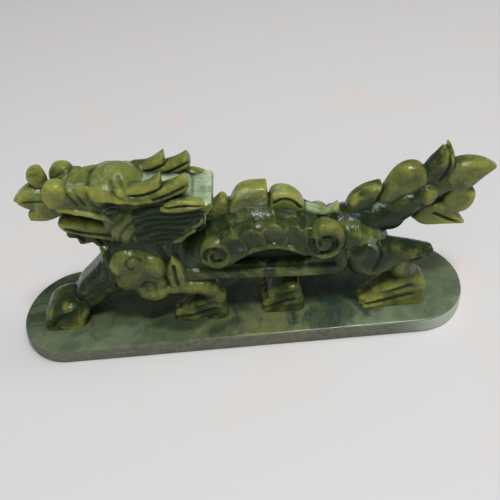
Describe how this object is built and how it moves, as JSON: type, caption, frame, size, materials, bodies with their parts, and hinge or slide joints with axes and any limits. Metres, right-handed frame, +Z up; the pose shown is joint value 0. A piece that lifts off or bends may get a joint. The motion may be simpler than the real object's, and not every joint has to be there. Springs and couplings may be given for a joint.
{
  "type": "jade figurine",
  "caption": "Carved green jade dragon figurine, walking on a long round-ended slab, with a flame-crested back and a raised tail.",
  "frame": {"origin": "centre of the flat underside of the slab, on the surface the figurine stands on", "axes": "+Z up; X along the slab, the dragon's head at -X and its tail at +X; the dragon's left side faces -Y"},
  "size_m": [0.208, 0.054, 0.0823],
  "materials": {
    "carving": "polished olive-green jade (serpentine), slightly translucent at thin edges",
    "slab": "polished grey-green jade with dark clouds and a yellow vein"
  },
  "bodies": {
    "root": {"base_slab": "slab", "brow_left": "carving", "brow_right": "carving", "cheek_left": "carving", "cheek_mane_left": "carving", "cheek_mane_right": "carving", "cheek_right": "carving", "chest": "carving", "chin_beard": "carving", "crest_plate_1": "carving", "crest_plate_2": "carving", "crest_plate_3": "carving", "crest_plate_4": "carving", "eye_left": "carving", "eye_right": "carving", "flank_panel_left": "carving", "flank_panel_right": "carving", "front_left_elbow": "carving", "front_left_elbow_tuft": "carving", "front_left_foot": "carving", "front_left_forearm": "carving", "front_left_shoulder": "carving", "front_right_forearm": "carving", "front_right_paw": "carving", "front_right_shoulder": "carving", "front_scroll_left": "carving", "front_scroll_right": "carving", "hind_left_foot": "carving", "hind_left_shin": "carving", "hind_left_thigh": "carving", "hind_right_foot": "carving", "hind_right_shin": "carving", "hind_right_thigh": "carving", "horn_left": "carving", "horn_right": "carving", "lower_jaw": "carving", "mane_lock_left": "carving", "mane_lock_right": "carving", "nape": "carving", "nose_bud": "carving", "nose_curl_top": "carving", "nose_curl_under": "carving", "nostril_left": "carving", "nostril_right": "carving", "rear_scroll_left": "carving", "rear_scroll_right": "carving", "rump": "carving", "skull": "carving", "tail_crest_lobe_1": "carving", "tail_crest_lobe_2": "carving", "tail_crest_lobe_3": "carving", "tail_flame_tip": "carving", "tail_root": "carving", "tail_shaft": "carving", "tail_under_lobe_1": "carving", "tail_under_lobe_2": "carving", "torso": "carving", "upper_jaw": "carving"}
  },
  "joints": []
}
